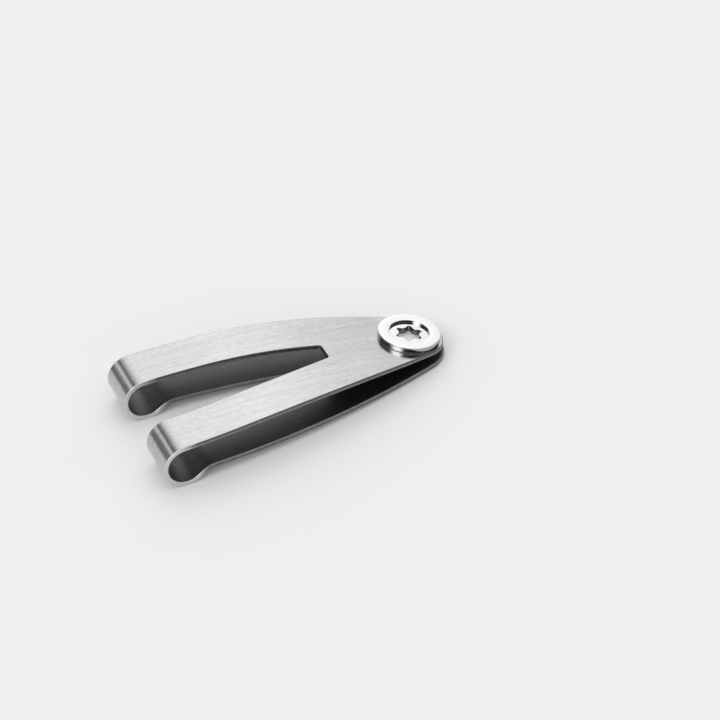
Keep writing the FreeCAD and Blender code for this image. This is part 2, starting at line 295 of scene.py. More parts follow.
# %% Side views of both jaws and the loop
arch_end = SCREW - FLAT * math.cos(tip_slope)
arch_radius = (arch_end - STRAIGHT) / math.sin(tip_slope)
ramp_x = loop_radius * math.sin(RAMP)
ramp_z = loop_radius * (1 - math.cos(RAMP))
bend_run = RAMP_BEND * (math.sin(RAMP) + math.sin(lower_slope))
bend_lift = RAMP_BEND * (math.cos(lower_slope) - math.cos(RAMP))
climb = (reach - ramp_x - bend_run) * math.tan(lower_slope) - ramp_z - bend_lift
ramp_length = climb / (math.sin(RAMP) + math.cos(RAMP) * math.tan(lower_slope))
bend_x = ramp_x + ramp_length * math.cos(RAMP) + RAMP_BEND * math.sin(RAMP)
bend_z = ramp_z + ramp_length * math.sin(RAMP) - RAMP_BEND * math.cos(RAMP)
loop_turn = math.pi + RAMP


def upper_side_view(x):
    """Height, downward slope and length at x.

    The arc's slope is the arcsine of its run over its radius, and its drop is the radius
    times (1 - cosine of the slope).
    """
    run = np.clip(x - STRAIGHT, 0, arch_end - STRAIGHT)
    slope = np.arcsin(run / arch_radius)
    beyond = np.maximum(x - arch_end, 0)
    height = 2 * loop_radius - arch_radius * (1 - np.cos(slope)) - beyond * math.tan(tip_slope)
    length = np.minimum(x, STRAIGHT) + arch_radius * slope + beyond / math.cos(tip_slope)
    return height, slope, length


def lower_side_view(x):
    """Height, upward slope and length of the underside at x.

    The bend's slope is the arcsine of its run over its radius too, and its height is its
    centre's plus the radius times the slope's cosine.
    """
    run = np.clip((x - bend_x) / RAMP_BEND, -math.sin(RAMP), math.sin(lower_slope))
    slope = -np.arcsin(run)
    before = np.minimum(x - bend_x + RAMP_BEND * math.sin(RAMP), 0)
    beyond = np.maximum(x - bend_x - RAMP_BEND * math.sin(lower_slope), 0)
    bend = bend_z + RAMP_BEND * np.cos(slope)
    height = bend + before * math.tan(RAMP) - beyond * math.tan(lower_slope)
    bent = RAMP_BEND * (RAMP - slope)
    length = ramp_length + before / math.cos(RAMP) + bent + beyond / math.cos(lower_slope)
    return height, slope, length


def fold_jaw(places, upper):
    """Points in space, and (length, across) for the brushing, of a jaw's plan places.

    A point sinks by its depth along the normal: depth times the slope's sine back, and depth
    times its cosine down, or up from the lower jaw's underside.
    """
    x, y = places[..., 0], places[..., 1]
    height, slope, length = upper_side_view(x) if upper else lower_side_view(x)
    sink = -ring_depth if upper else ring_depth
    points = np.stack([x - ring_depth * np.sin(slope), y, height + sink * np.cos(slope)], axis=-1)
    along = length if upper else -loop_radius * loop_turn - length
    return points, np.stack([along, y], axis=-1)


def fold_loop(turns):
    """The same for the loop: its radius less the depth, turned back about the loops' axis.

    A point lies at minus that radius times the turn's sine, and that radius times its cosine
    above the axis. It stays as far across as it is in the plan.
    """
    x = -loop_radius * np.sin(turns)
    inner = np.stack([x, side_y(x, slot_radius)], axis=1)
    outer = np.stack([x, side_y(x, side_radius)], axis=1)
    up = ray(0 * turns + math.pi / 2)
    places = rings(inner, up, np.full(len(turns), True), outer, -up)
    radius = (loop_radius - ring_depth)[None, :]
    across = places[..., 1]
    run, height = -radius * np.sin(turns)[:, None], loop_radius + radius * np.cos(turns)[:, None]
    points = np.stack([run, across, height], axis=-1)
    along = np.broadcast_to(-loop_radius * turns[:, None], across.shape)
    return points, np.stack([along, across], axis=-1)


def fold_prong(start_x, upper):
    """Half a jaw: its two sides matched, ringed and folded, and which of its gaps are real edges."""
    inner, inner_way, real = inner_side(start_x, upper)
    wall_start = SLOT_STEPS + CORNER_STEPS
    knots = [0, SLOT_STEPS, wall_start, wall_start + WALL_STEPS - 1]
    if upper:
        knots.append(wall_start + WALL_STEPS + MIDDLE_STEPS)
    knots.append(len(inner) - 1)
    outer, outer_way = outer_side(start_x, knots, len(inner))
    inner_way[0], outer_way[0] = (0, 1), (0, -1)
    if not upper:
        inner_way[-1] = (1, 0)
    places = rings(inner, inner_way, real, outer, outer_way)
    return *fold_jaw(places, upper), real[1:] & real[:-1]


# %% Half of the strip, from tip to tip
LOOP_STEPS = 120
upper_half = fold_prong(0, upper=True)
lower_half = fold_prong(ramp_x, upper=False)
loop_half = fold_loop(np.linspace(0, loop_turn, LOOP_STEPS + 1)[1:-1])
strip_points = np.concatenate([upper_half[0][::-1], loop_half[0], lower_half[0]])
strip_places = np.concatenate([upper_half[1][::-1], loop_half[1], lower_half[1]])
strip_real = np.concatenate([upper_half[2][::-1], np.ones(LOOP_STEPS) > 0, lower_half[2]])
strip_points[..., 0] += hinge.x
print(f"{len(strip_points)} stations, {np.ptp(strip_places[..., 0]) / MM:.1f} mm of strip")

# %% [markdown]
# ## Closing the strip
#
# The clip is the same on both sides of its middle. A Mirror modifier could add the other
# half. Here the arrays do: the image's points have y turned round, its quads run the other
# way, and both halves share the vertices on the middle line, so there is no seam.

# %% Mirror the half strip
MIDDLE_LINE = 1e-9  # metres: this near the middle, a vertex is its own mirror image


def mirrored(points, places, real):
    """Vertices, (length, across) and quads of the half strip with its mirror image.

    A quad joins neighbouring stations and neighbouring ring points. The halves share the
    vertices on the middle line, and vertices of no quad are dropped.
    """
    stations, ring = points.shape[:2]
    index = np.arange(stations * ring).reshape(stations, ring)
    after = np.roll(index, -1, axis=1)
    quads = np.stack([index[:-1], index[1:], after[1:], after[:-1]], axis=-1)
    keep = np.ones((stations - 1, ring), bool)
    keep[np.ix_(~real, inner_columns)] = False
    quads = quads[keep]
    vertices, across = points.reshape(-1, 3), places.reshape(-1, 2)
    middle = np.abs(vertices[:, 1]) < MIDDLE_LINE
    twin = np.where(middle, index.ravel(), index.ravel() + index.size)
    quads = np.concatenate([quads, twin[quads][:, ::-1]])
    vertices = np.concatenate([vertices, vertices * [1, -1, 1]])
    across = np.concatenate([across, across * [1, -1]])
    used, quads = np.unique(quads, return_inverse=True)
    return vertices[used], across[used], quads.reshape(-1, 4), used % ring


# %% [markdown]
# A mesh can be filled from lists of tuples, which is plain but slow. Here the arrays are
# handed over whole: places, corners, and where each face starts among the corners. Faces
# have to look outward, so where the volume inside is below zero, every face is turned.

# %% Put a surface into a mesh
def volume(vertices, quads):
    """Volume inside the quads, below zero where they look inward.

    Each quad is two triangles, and each triangle adds a sixth of one corner's dot product
    with the cross product of the other two.
    """
    a, b, c, d = (vertices[quads[:, k]] for k in range(4))
    return (np.einsum("ij,ij->", a, np.cross(b, c)) + np.einsum("ij,ij->", a, np.cross(c, d))) / 6


def placed(name, data):
    """A new object in the scene."""
    thing = bpy.data.objects.new(name, data)
    bpy.context.collection.objects.link(thing)
    return thing


def surface(name, vertices, quads):
    """A smooth mesh of the quads, turned so that they look outward.

    A corner that repeats the one before it is left out, so a quad at a pole is a triangle.
    """
    if volume(vertices, quads) < 0:
        quads = quads[:, ::-1]
    kept = quads != np.roll(quads, 1, axis=1)
    corners = kept.sum(axis=1)
    mesh = bpy.data.meshes.new(name)
    mesh.vertices.add(len(vertices))
    mesh.vertices.foreach_set("co", vertices.astype(np.float32).ravel())
    mesh.loops.add(int(corners.sum()))
    mesh.loops.foreach_set("vertex_index", quads[kept].astype(np.int32))
    mesh.polygons.add(len(quads))
    mesh.polygons.foreach_set("loop_start", (np.cumsum(corners) - corners).astype(np.int32))
    mesh.update(calc_edges=True)
    mesh.validate()
    mesh.shade_smooth()
    print(f"{name}: {len(vertices)} vertices, {volume(vertices, quads) / MM**3:.1f} cubic millimetres")
    return placed(name, mesh)


def mark_points(piece, name, values):
    """A named number at every vertex, which a material can read."""
    attribute = piece.data.attributes.new(name, "FLOAT", "POINT")
    attribute.data.foreach_set("value", values.astype(np.float32))


# %% The strip, its map and its marks
strip_vertices, strip_across, strip_quads, strip_column = mirrored(
    strip_points, strip_places, strip_real
)
strip = surface("spring_strip", strip_vertices, strip_quads)
strip_corners = np.empty(len(strip.data.loops), np.int32)
strip.data.loops.foreach_get("vertex_index", strip_corners)
strip_map = strip.data.uv_layers.new(name="strip")
strip_map.data.foreach_set("uv", strip_across[strip_corners].astype(np.float32).ravel())
for mark, values in (("rim", rim_mark), ("inner", inner_mark), ("depth", depth_mark)):
    mark_points(strip, mark, values[strip_column])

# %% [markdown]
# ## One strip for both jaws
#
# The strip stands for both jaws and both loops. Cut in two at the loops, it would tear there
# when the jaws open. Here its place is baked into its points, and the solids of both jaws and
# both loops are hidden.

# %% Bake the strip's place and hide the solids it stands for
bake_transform(strip)
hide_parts(UPPER_JAW, LOWER_JAW, LEFT_LOOP, "right_spring_loop")

# %% [markdown]
# ## The turned pieces at the tip
#
# The collar, the screw and the foot are turned on a lathe and lie on one axis, square to the
# upper jaw's flat. Each is a profile swept round that axis, its corners broken as a lathe
# tool leaves them. A Screw modifier would give the same shape, but rows of (radius, height)
# also let the socket leave the round.

# %% Sizes of the turned pieces, heights from the upper jaw's top face
COLLAR, COLLAR_TOP, COLLAR_BORE, COLLAR_ROUND = 5.05 * MM, 1.0 * MM, 3.23 * MM, 0.12 * MM
CUP, CUP_FLOOR, CUP_UNDER = 3.85 * MM, -0.85 * MM, -1.1 * MM
SEAT_LINE = 0.05 * MM  # the dark line between the collar and the sheet
SHANK, SLIDE = 2.0 * MM, 0.05 * MM
FOOT, FOOT_DOME, FOOT_TIP, FOOT_SKIN = 4.6 * MM, 9.0 * MM, -2.55 * MM, 0.4 * MM
FOOT_POCKET = CUP_UNDER - SLIDE
THREAD_END = FOOT_TIP + FOOT_SKIN
SHANK_END = THREAD_END + SLIDE
FINE_ROUND = 0.03 * MM  # a corner that the tool has only just broken
ROUND_POINTS = 6
SEGMENTS = 192  # steps round the collar and the foot

seat = Vector((hinge.x + SCREW, 0, 2 * loop_radius - arch_radius * (1 - math.cos(tip_slope))))
seat.z -= FLAT * math.sin(tip_slope)
tip_turn = Matrix.Rotation(tip_slope, 3, "Y")
turned_angles = np.linspace(0, 2 * math.pi, SEGMENTS, endpoint=False)
print(f"the axis meets the jaw at x {seat.x / MM:.2f} and z {seat.z / MM:.2f} mm")


# %% Profiles and how they are swept
def rounded(corners):
    """A profile whose corners (radius, height, round) are broken by small arcs.

    A corner P between A and B becomes the quadratic blend (1-t)^2 P1 + 2t(1-t) P + t^2 P2,
    where P1 and P2 lie on the two sides at the round's size from P.
    """
    points = []
    share = np.linspace(0, 1, ROUND_POINTS)[:, None]
    for k, (radius, height, broken) in enumerate(corners):
        here = np.array([radius, height])
        if broken == 0:
            points.append(here[None])
            continue
        before, after = (np.array(corners[j % len(corners)][:2]) - here for j in (k - 1, k + 1))
        first = here + before / np.linalg.norm(before) * broken
        last = here + after / np.linalg.norm(after) * broken
        points.append((1 - share) ** 2 * first + 2 * share * (1 - share) * here + share**2 * last)
    return np.concatenate(points)


def swept(name, radius, height, angles, closed=False):
    """Rows swept round the tip's axis: (radius cosine, radius sine, height), set on the seat.

    A row of radius 0 is a pole, with one vertex for all its angles. A closed profile joins
    its last row to its first. Gives the piece and the row of every vertex.
    """
    x, y = radius * np.cos(angles), radius * np.sin(angles)
    index = np.arange(x.size).reshape(x.shape)
    index = np.where(np.all(radius == 0, axis=1, keepdims=True), index[:, :1], index)
    ahead = np.roll(index, -1, axis=1)
    row = np.arange(len(index) if closed else len(index) - 1)
    below = (row + 1) % len(index)
    quads = np.stack([index[row], index[below], ahead[below], ahead[row]], axis=-1)
    used, quads = np.unique(quads, return_inverse=True)
    local = np.stack([x, y, height + 0 * angles], axis=-1).reshape(-1, 3)[used]
    vertices = local @ np.array(tip_turn).T + np.array(seat)
    return surface(name, vertices, quads.reshape(-1, 4)), used // len(angles)


def on_tip(piece, material_slot, *nodes):
    """The piece rides the upper jaw and stands for its solids."""
    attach(piece, "upper_body")
    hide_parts(*nodes)


# %% The collar
collar_rows = rounded([
    (SHANK + SLIDE, CUP_UNDER, FINE_ROUND),
    (CUP, CUP_UNDER, FINE_ROUND),
    (CUP, SEAT_LINE, 0),
    (COLLAR, SEAT_LINE, FINE_ROUND),
    (COLLAR, COLLAR_TOP, COLLAR_ROUND),
    (COLLAR_BORE, COLLAR_TOP, COLLAR_ROUND),
    (COLLAR_BORE, CUP_FLOOR, FINE_ROUND),
    (SHANK + SLIDE, CUP_FLOOR, FINE_ROUND),
])
collar, _ = swept("collar", collar_rows[:, :1], collar_rows[:, 1:], turned_angles, closed=True)
on_tip(collar, "collar", "polished_collar")

# %% [markdown]
# ## The socket screw
#
# The screw's head is a shallow dome with a six-lobe socket pressed into it. A Boolean would
# cut the socket, and leave long thin faces that shade badly. Here the socket's outline is a
# radius at every angle, round lobes joined by hollow flanks, so the head is still a grid of
# rings, which start round at the head's edge and take the socket's shape as they come in.

# %% Sizes of the head and its socket
HEAD_DROP, HEAD_RISE, HEAD_GAP = 0.45 * MM, 0.05 * MM, 0.03 * MM
HEAD_CHAMFER = 0.2 * FINE_ROUND
SOCKET, WAIST, LOBE, SOCKET_DEPTH = 2.25 * MM, 1.625 * MM, 0.4 * MM, 1.15 * MM
SOCKET_ROUND, SOCKET_FOOT = 0.06 * MM, 0.12 * MM
SOCKET_TURN = math.radians(4.4)
LOBE_STEP = math.radians(60)
HALF_STEP = LOBE_STEP / 2

head_radius = COLLAR_BORE - HEAD_GAP
head_edge = COLLAR_TOP - HEAD_DROP
head_top = head_edge + HEAD_RISE
head_dome = (head_radius**2 + HEAD_RISE**2) / (2 * HEAD_RISE)
lobe_reach = SOCKET - LOBE
flank_room = lobe_reach**2 + WAIST**2 - LOBE**2 - 2 * lobe_reach * WAIST * math.cos(HALF_STEP)
flank_radius = flank_room / (2 * (LOBE + lobe_reach * math.cos(HALF_STEP) - WAIST))
flank_reach = WAIST + flank_radius
lobe_share = LOBE / (LOBE + flank_radius)
print(f"socket {2 * SOCKET / MM:.2f} mm over its lobes, flanks of {flank_radius / MM:.2f} mm radius")


def socket_outline(angles):
    """Radius at each angle: the far side of a lobe's circle, or the near side of a flank's.

    A ray meets a circle at distance D and radius R at D cos(a) plus or minus
    sqrt(R^2 - D^2 sin(a)^2), where a is the angle between them. Lobe and flank change over
    where their circles touch, on the line between the two centres.
    """
    from_lobe = np.abs((angles - SOCKET_TURN + HALF_STEP) % LOBE_STEP - HALF_STEP)
    from_flank = HALF_STEP - from_lobe
    touch_x = lobe_reach * (1 - lobe_share) + flank_reach * math.cos(HALF_STEP) * lobe_share
    touch_y = flank_reach * math.sin(HALF_STEP) * lobe_share
    lobe_root = np.maximum(LOBE**2 - (lobe_reach * np.sin(from_lobe)) ** 2, 0)
    flank_root = np.maximum(flank_radius**2 - (flank_reach * np.sin(from_flank)) ** 2, 0)
    lobe = lobe_reach * np.cos(from_lobe) + np.sqrt(lobe_root)
    flank = flank_reach * np.cos(from_flank) - np.sqrt(flank_root)
    return np.where(from_lobe < math.atan2(touch_y, touch_x), lobe, flank)


def fall(radius, sphere):
    """How far a sphere has fallen away: its radius less the root of its radius squared less r^2."""
    return sphere - np.sqrt(sphere**2 - radius**2)


# %% Rows of the head: dome, rounded rim, wall and floor of the socket
SCREW_SEGMENTS, RIM_STEPS = 240, 4
EDGE_SHARES, DOME_START, DOME_ROWS = [0.004, 0.02, 0.06], 0.12, 14
FLOOR_SHARES = np.array([1, 0.985, 0.95, 0.6, 0.3, 0])[:, None]
FLOOR_RISES = np.array([0.06, 0.015, 0, 0, 0, 0])[:, None] * MM

screw_angles = np.linspace(0, 2 * math.pi, SCREW_SEGMENTS, endpoint=False)
outline = socket_outline(screw_angles)
even = np.ones(SCREW_SEGMENTS)
shaft_rows = rounded([
    (0, SHANK_END, 0),
    (SHANK, SHANK_END, FINE_ROUND),
    (SHANK, CUP_FLOOR, FINE_ROUND),
    (head_radius, CUP_FLOOR, FINE_ROUND),
    (head_radius, head_edge - HEAD_CHAMFER, 0),
])
inward = np.concatenate([EDGE_SHARES, np.linspace(DOME_START, 1, DOME_ROWS)])[:, None]
dome_radius = head_radius * (1 - inward) + (outline + SOCKET_ROUND) * inward
rim_turn = np.linspace(0, math.pi / 2, RIM_STEPS + 1)[1:, None]
rim_radius = outline + SOCKET_ROUND * (1 - np.sin(rim_turn))
rim_height = head_top - fall(rim_radius, head_dome) - SOCKET_ROUND * (1 - np.cos(rim_turn))
socket_floor = head_top - SOCKET_DEPTH
wall_foot = (socket_floor + SOCKET_FOOT) * even[None]
floor_height = (socket_floor + FLOOR_RISES) * even
dome_height = head_top - fall(dome_radius, head_dome)
outward = [shaft_rows[:, :1] * even, dome_radius, rim_radius, outline[None], outline * FLOOR_SHARES]
upward = [shaft_rows[:, 1:] * even, dome_height, rim_height, wall_foot, floor_height]
screw_radius, screw_height = np.concatenate(outward), np.concatenate(upward)
screw, screw_row = swept("socket_screw_head", screw_radius, screw_height, screw_angles)
first_wall = len(shaft_rows) + len(inward) + RIM_STEPS - 1
first_floor = len(screw_radius) - len(FLOOR_SHARES) + 1
mark_points(screw, "wall", (screw_row >= first_wall) & (screw_row < first_floor))
mark_points(screw, "floor", screw_row >= first_floor)
on_tip(screw, "screw", "socket_screw")

# %% [markdown]
# ## The pressure foot
#
# Under the upper jaw the screw is tightened into a smooth foot, which presses the notes
# without marking them. A flat disc would do, but its low dome is what shows from the side.

# %% The pressure foot
THREAD, FOOT_TOP = SHANK + 0.02 * MM, -SHEET - 0.01 * MM
DOME_EDGE, FOOT_BREAK = 0.1 * MM, 0.05 * MM  # the dome stops short of the edge, which is broken
FOOT_ROWS = 14

dome_reach = np.linspace(0, FOOT - DOME_EDGE, FOOT_ROWS)
foot_bottom = np.stack([dome_reach, FOOT_TIP + fall(dome_reach, FOOT_DOME)], axis=1)
foot_sides = rounded([
    (FOOT, FOOT_TIP + fall(FOOT, FOOT_DOME) + FOOT_BREAK, 0),
    (FOOT, FOOT_TOP, FOOT_BREAK),
    (JAW_HOLE, FOOT_TOP, FINE_ROUND),
    (JAW_HOLE, FOOT_POCKET, FINE_ROUND),
    (THREAD, FOOT_POCKET, FINE_ROUND),
    (THREAD, THREAD_END, FINE_ROUND),
    (0, THREAD_END, 0),
])
foot_rows = np.concatenate([foot_bottom, foot_sides])
foot, _ = swept("pressure_pad", foot_rows[:, :1], foot_rows[:, 1:], turned_angles)
on_tip(foot, "foot", "pressure_foot")

# %% [markdown]
# ## Shader maths
#
# All four finishes are bare metal, worked out from numbers that change over the surface.
# Each sum of such numbers is a Math node. They could be added and linked one by one, but a
# finish soon has dozens. A small class that wraps a node's output and answers to + - * adds
# the same nodes from a plain expression.

# %% A shader output that can be used in sums
class Socket:
    """A shader output that takes + - * like a number, one Math node for each step.

    One that has no output yet stands for the node tree, to make the first nodes in.
    """

    def __init__(self, tree, output=None):
        self.tree, self.output = tree, output

    def node(self, kind, settings, sockets, output=0):
        """A node from its settings and its sockets' values or links, and one of its outputs."""
        made = self.tree.nodes.new(kind)
        for name, value in settings.items():
            setattr(made, name, value)
        for name, value in sockets.items():
            if isinstance(value, Socket):
                self.tree.links.new(value.output, made.inputs[name])
            else:
                made.inputs[name].default_value = value
        return Socket(self.tree, made.outputs[output])

    def beside(self, name):
        """Another output of the same node."""
        return Socket(self.tree, self.output.node.outputs[name])

    def parts(self):
        """The x, y and z of a place."""
        x = self.node("ShaderNodeSeparateXYZ", {}, {"Vector": self})
        return x, x.beside("Y"), x.beside("Z")

    def math(self, operation, *values):
        """A Math node on the values in their order, or on this socket alone."""
        return self.node("ShaderNodeMath", {"operation": operation}, dict(enumerate(values or [self])))

    def larger(self, other):
        """The larger of this socket and another."""
        return self.math("MAXIMUM", self, other)

    def __add__(self, other):
        return self.math("ADD", self, other)

    def __sub__(self, other):
        return self.math("SUBTRACT", self, other)

    def __mul__(self, other):
        return self.math("MULTIPLY", self, other)

    def __rsub__(self, other):
        return self.math("SUBTRACT", other, self)

    __radd__, __rmul__ = __add__, __mul__


# %% A finish, and how a piece gets it
METAL = {"Metallic": 1.0}


def finish(name, constants):
    """A new material with its shader's constants set: the material, its tree and its shader."""
    material = bpy.data.materials.new(name)
    material.use_nodes = True
    shader = material.node_tree.nodes["Principled BSDF"]
    for socket, value in constants.items():
        shader.inputs[socket].default_value = value
    return material, Socket(material.node_tree), shader


def marked(start, name):
    """The number that a piece's vertices carry under this name."""
    return start.node("ShaderNodeAttribute", {"attribute_name": name}, {}, "Fac")


def feed(shader, name, value):
    """Link a worked-out socket to one of a shader's inputs."""
    value.tree.links.new(value.output, shader.inputs[name])


def dress(piece, material):
    """Give a piece its finish, and say how many nodes it took."""
    piece.data.materials.append(material)
    print(f"{piece.name} wears {material.name}, {len(material.node_tree.nodes)} nodes")


# %% [markdown]
# ## Patterns for metal
#
# Brushing and turning leave fine marks. They could be painted on an image, but noise from a
# formula has no seams and stays sharp close by. Drawn out along the strip it is brushing,
# taken of the distance from an axis it is turning marks, and left as it is, it is the faint
# haze on polished steel.

# %% Helpers for noise, greys, steps and relief
NOISE_ROUGHNESS = 0.6
COOL = 1.01  # steel's grey has a trace more blue than red
MIX_FROM, MIX_TO, MIX_COLOUR = 6, 7, 2  # a Mix node's colour sockets share their names with others


def noise(place, patch, detail, dimensions="3D"):
    """Cloudy noise of a place, with patches of about the given size."""
    sockets = {"Vector": place, "Scale": 1 / patch, "Detail": detail, "Roughness": NOISE_ROUGHNESS}
    return place.node("ShaderNodeTexNoise", {"noise_dimensions": dimensions}, sockets)


def streaks(place, along, across, detail):
    """Noise over the strip's map, with so many waves to the metre along and across it."""
    drawn_out = place.node("ShaderNodeMapping", {}, {"Vector": place, "Scale": (along, across, 1)})
    return noise(drawn_out, 1, detail, "2D")


def tint(grey):
    """A grey as a colour. A colour that is worked out stays as it is."""
    return grey if isinstance(grey, Socket) else (grey, grey, grey * COOL, 1)


def blended(factor, dark, light):
    """A colour from dark at 0 to light at 1, by a Mix node."""
    sockets = {"Factor": factor, MIX_FROM: tint(dark), MIX_TO: tint(light)}
    return factor.node("ShaderNodeMix", {"data_type": "RGBA"}, sockets, MIX_COLOUR)


def mean(first, second):
    """Half of each of two patterns."""
    return first * 0.5 + second * 0.5


def step_up(value, off_at, on_at, shape="LINEAR"):
    """0 up to off_at and 1 from on_at, with a straight or a soft step between them."""
    sockets = {"Value": value, "From Min": off_at, "From Max": on_at}
    return value.node("ShaderNodeMapRange", {"interpolation_type": shape}, sockets)


def relief(height, strength, distance):
    """The normal of a Bump node, which leans as if the height rose by so much of the distance."""
    return height.node(
        "ShaderNodeBump", {}, {"Strength": strength, "Distance": distance, "Height": height}
    )


# %% [markdown]
# ## The brushed sheet
#
# The sheet is brushed in hair-fine lines along its length. Noise drawn out along x would go
# wrong round the loops, so it is drawn out on the strip's map, which holds the length along
# the sheet. Along the jaws the edges are painted dark, a near-black line by the outer face and
# a darker grey further in: painted shade. Round the loops they are painted lighter: a painted
# highlight.

# %% Sizes and greys of the sheet's finish
HAIR_LINES = (900, 9500, 2.0)  # waves to the metre along and across, and how much detail
FINE_STREAKS = (200, 5400, 3.0)
BROAD_STREAKS = (50, 1300, 2.0)
HAIR_SHARE, FINE_SHARE, BROAD_SHARE = 0.5, 0.3, 0.2
GRAIN_START, GRAIN_CONTRAST = 0.35, 3.3  # the middle of the noise is stretched over 0 to 1
# The inner face's greys are painted shade, near-black where little light reaches inside the clip.
FACE, INNER_SHADE = (0.395, 0.575), (0.065, 0.115)
# Painted shade on the jaws' edges: a near-black line and darker greys. Painted highlight on the loops'
# edges: a lighter grey.
EDGE_SHADOW_LINE, EDGE_SHADE_GREYS, LOOP_EDGE_HIGHLIGHT = 0.12, (0.18, 0.28), (0.56, 0.72)
SHADOW_LINE_DEPTH = (0.35, 0.5)  # shares of the sheet's thickness where the painted dark line gives way to the painted grey shade
LOOP_ENDS = 2 * MM  # the painted highlight on the edges fades out over this length under the loops
LOOP_TOPS = (-0.6 * MM, 2.2 * MM)  # and between these places on top
LAPPED = (37 * MM, 42 * MM)  # the flat round the collar is polished finer from here on
LAPPED_SMOOTHER, LAPPED_RELIEF = 0.65, 0.5
ROUGH_LOW, ROUGH_GRAIN, ROUGH_EDGE, ROUGH_INNER = 0.12, 0.12, 0.12, 0.25
LINE_RELIEF, BRUSHED_BUMP = 0.7, (0.3, 0.02 * MM)

# %% The brushed sheet's nodes
steel, start, shader = finish("brushed_steel", METAL)
strip_uv = start.node("ShaderNodeUVMap", {"uv_map": "strip"}, {})
strip_length, _, _ = strip_uv.parts()
on_edge, inside, depth = (marked(start, name) for name in ("rim", "inner", "depth"))

hair_lines = streaks(strip_uv, *HAIR_LINES)
fine_streaks = streaks(strip_uv, *FINE_STREAKS)
broad_streaks = streaks(strip_uv, *BROAD_STREAKS)
brushing = hair_lines * HAIR_SHARE + fine_streaks * FINE_SHARE + broad_streaks * BROAD_SHARE
grain = (brushing - GRAIN_START) * GRAIN_CONTRAST

loop_end = -loop_radius * loop_turn
on_loop = step_up(strip_length, loop_end - LOOP_ENDS, loop_end)
on_loop = on_loop * (1 - step_up(strip_length, *LOOP_TOPS))
# Along the jaws the cut edges are painted dark: painted shade, a near-black line by the outer face and
# darker greys further in.
jaw_edge_shade = blended(step_up(depth, *SHADOW_LINE_DEPTH), EDGE_SHADOW_LINE, blended(grain, *EDGE_SHADE_GREYS))
# Round the loops the edges are painted a lighter grey: a painted highlight.
edge = blended(on_loop, jaw_edge_shade, blended(brushing, *LOOP_EDGE_HIGHLIGHT))
outside = blended(on_edge, blended(grain, *FACE), edge)
# The inner face is painted near-black: painted shade inside the clip.
feed(shader, "Base Color", blended(inside, outside, blended(grain, *INNER_SHADE)))

lapped = step_up(strip_length, *LAPPED) * (1 - inside)
roughness = (ROUGH_LOW + ROUGH_GRAIN * brushing) * (1 - LAPPED_SMOOTHER * lapped)
feed(shader, "Roughness", roughness + ROUGH_EDGE * on_edge + ROUGH_INNER * inside)
lines = hair_lines * LINE_RELIEF + fine_streaks * LINE_RELIEF + lapped * fine_streaks * LAPPED_RELIEF
feed(shader, "Normal", relief(lines, *BRUSHED_BUMP))
dress(strip, steel)

# %% [markdown]
# ## The turned pieces' finishes
#
# A lathe leaves fine rings, and polishing only softens them. They are far thinner than the
# mesh's faces, so they are a bump and not a shape. Noise of the distance from the tip's axis
# and the height along it is the same all the way round. The axis leans, so a Mapping node
# first turns the place upright.

# %% Marks of the lathe, and the haze over them
MARK_DETAIL, HAZE_DETAIL = 2.0, 4.0


def turned_patterns(start, pitch, patch):
    """Rings round the tip's axis, haze, the place itself and its distance from the axis.

    The distance is the root of x squared plus y squared.
    """
    place = start.node("ShaderNodeTexCoord", {}, {}, "Object")
    placing = {"Vector": place, "Location": seat, "Rotation": (0, tip_slope, 0)}
    level = place.node("ShaderNodeMapping", {"vector_type": "TEXTURE"}, placing)
    x, y, height = level.parts()
    distance = (x * x + y * y).math("SQRT")
    section = distance.node("ShaderNodeCombineXYZ", {}, {"X": distance, "Y": height})
    marks = noise(section, pitch, MARK_DETAIL, "2D")
    return marks, noise(place, patch, HAZE_DETAIL), place, distance


# %% The polished collar
POLISHED_BUMP = (0.06, 0.004 * MM)
COLLAR_MARKS, COLLAR_HAZE = 0.11 * MM, 1.4 * MM
CHROME, WALL_SHADE = (0.76, 0.84), (0.36, 0.46)
WALL_FADE = 0.05 * MM  # the painted shade on the walls fades into the face over this width
CHROME_ROUGH, CHROME_ROUGH_MARKS, CHROME_ROUGH_HAZE = 0.012, 0.03, 0.03

chrome, start, shader = finish("polished_chrome", METAL)
marks, haze, _, from_axis = turned_patterns(start, COLLAR_MARKS, COLLAR_HAZE)
# The collar's outer wall and bore are painted darker than its face: painted shade, standing in for the
# dark surroundings these walls mirror.
bore = 1 - step_up(from_axis, COLLAR_BORE, COLLAR_BORE + WALL_FADE)
walls = bore + step_up(from_axis, COLLAR - WALL_FADE, COLLAR)
bright = blended(mean(marks, haze), *CHROME)
feed(shader, "Base Color", blended(walls, bright, blended(marks, *WALL_SHADE)))
feed(shader, "Roughness", CHROME_ROUGH + CHROME_ROUGH_MARKS * marks + CHROME_ROUGH_HAZE * haze)
feed(shader, "Normal", relief(marks, *POLISHED_BUMP))
dress(collar, chrome)

# %% [markdown]
# The screw's face is polished as the collar is. Its socket is pressed: the walls are painted
# dark, painted shade in the hollow, and a little rough, the floor matt and pale with a fine
# grain. The marks on the mesh say where each begins, which is surer than guessing it from the height.

# %% The polished screw and its plain socket
SCREW_MARKS, SCREW_HAZE, PRESSED_GRAIN, GRAIN_DETAIL = 0.16 * MM, 0.9 * MM, 0.12 * MM, 3.0
SCREW_FACE, SOCKET_WALL_SHADE, PRESSED = (0.73, 0.81), 0.17, (0.78, 0.92)
SCREW_ROUGH, SCREW_ROUGH_MARKS, SCREW_ROUGH_HAZE = 0.02, 0.02, 0.03
WALL_ROUGH, FLOOR_ROUGH, FLOOR_LESS_METAL = 0.1, 0.5, 0.7

